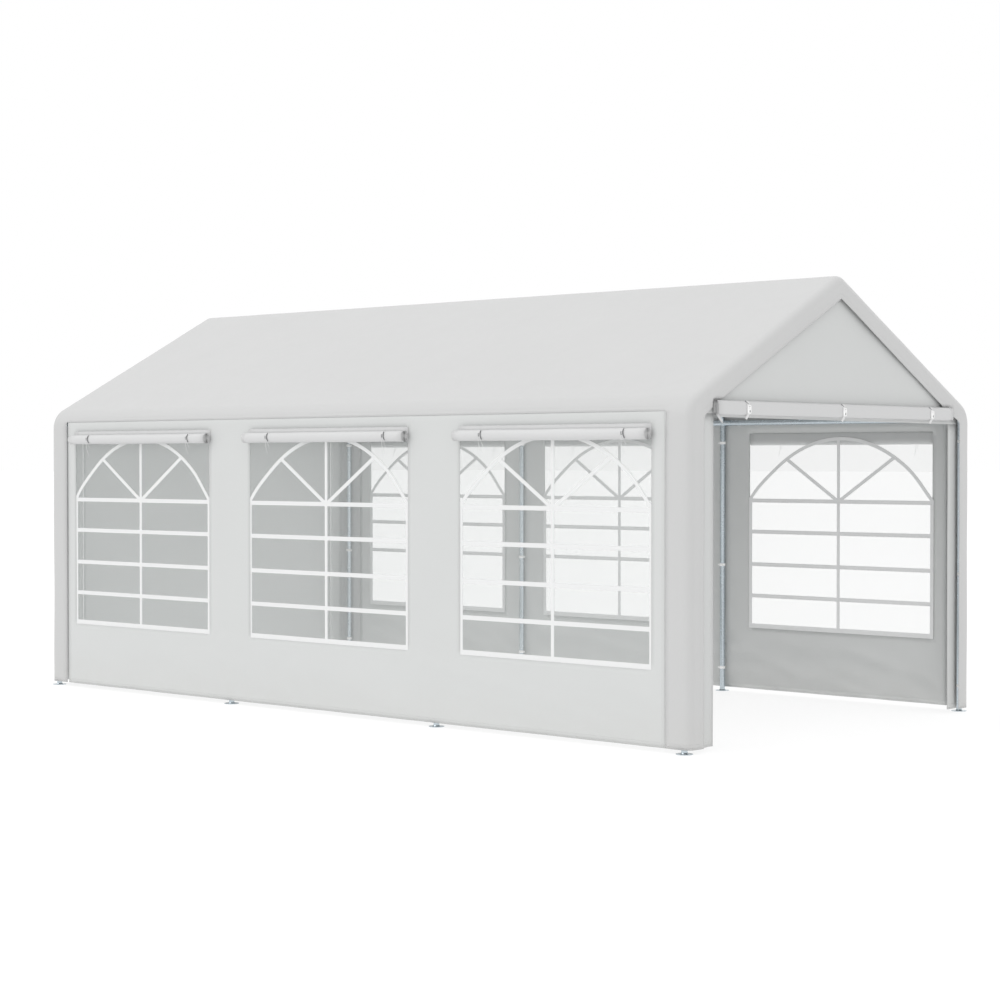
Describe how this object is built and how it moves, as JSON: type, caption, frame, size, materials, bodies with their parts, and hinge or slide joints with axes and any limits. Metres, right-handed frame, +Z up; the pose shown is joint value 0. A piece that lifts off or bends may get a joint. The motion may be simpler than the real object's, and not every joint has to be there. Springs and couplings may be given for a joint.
{
  "type": "marquee tent",
  "caption": "Gabled party tent on a steel tube frame, with windowed side walls, rolled-up blinds, one open gable with its door rolled up, and a closed rear gable.",
  "frame": {"origin": "middle of the footprint of the legs, on the ground", "axes": "+X out of the open gable, +Y from the near long side to the far one, +Z up"},
  "size_m": [6.0432, 3.1912, 2.8176],
  "materials": {
    "steel": "galvanised, satin",
    "sheeting": "coated woven sheeting, satin",
    "window_film": "clear soft film",
    "rolled_cloth": "coated woven sheeting, rolled",
    "webbing": "flat webbing"
  },
  "bodies": {
    "root": {"leg_near_1": "steel", "leg_near_2": "steel", "leg_near_3": "steel", "leg_near_4": "steel", "leg_far_1": "steel", "leg_far_2": "steel", "leg_far_3": "steel", "leg_far_4": "steel", "rafter_near_1": "steel", "rafter_near_2": "steel", "rafter_near_3": "steel", "rafter_near_4": "steel", "rafter_far_1": "steel", "rafter_far_2": "steel", "rafter_far_3": "steel", "rafter_far_4": "steel", "eave_rail_near": "steel", "eave_rail_far": "steel", "ridge_rail": "steel", "roof_cover": "sheeting", "side_wall_near": "sheeting", "side_wall_far": "sheeting", "end_panel_front": "sheeting", "end_panel_rear": "sheeting", "rear_door": "sheeting", "corner_sleeve_near_rear": "sheeting", "corner_sleeve_near_front": "sheeting", "corner_sleeve_far_rear": "sheeting", "corner_sleeve_far_front": "sheeting", "window_film_near_1": "window_film", "window_film_near_2": "window_film", "window_film_near_3": "window_film", "window_film_far_1": "window_film", "window_film_far_2": "window_film", "window_film_far_3": "window_film", "window_blind_near_1": "rolled_cloth", "window_blind_near_2": "rolled_cloth", "window_blind_near_3": "rolled_cloth", "window_blind_far_1": "rolled_cloth", "window_blind_far_2": "rolled_cloth", "window_blind_far_3": "rolled_cloth", "door_roll": "rolled_cloth", "door_strap_1": "webbing", "door_strap_2": "webbing", "door_strap_3": "webbing"}
  },
  "joints": []
}
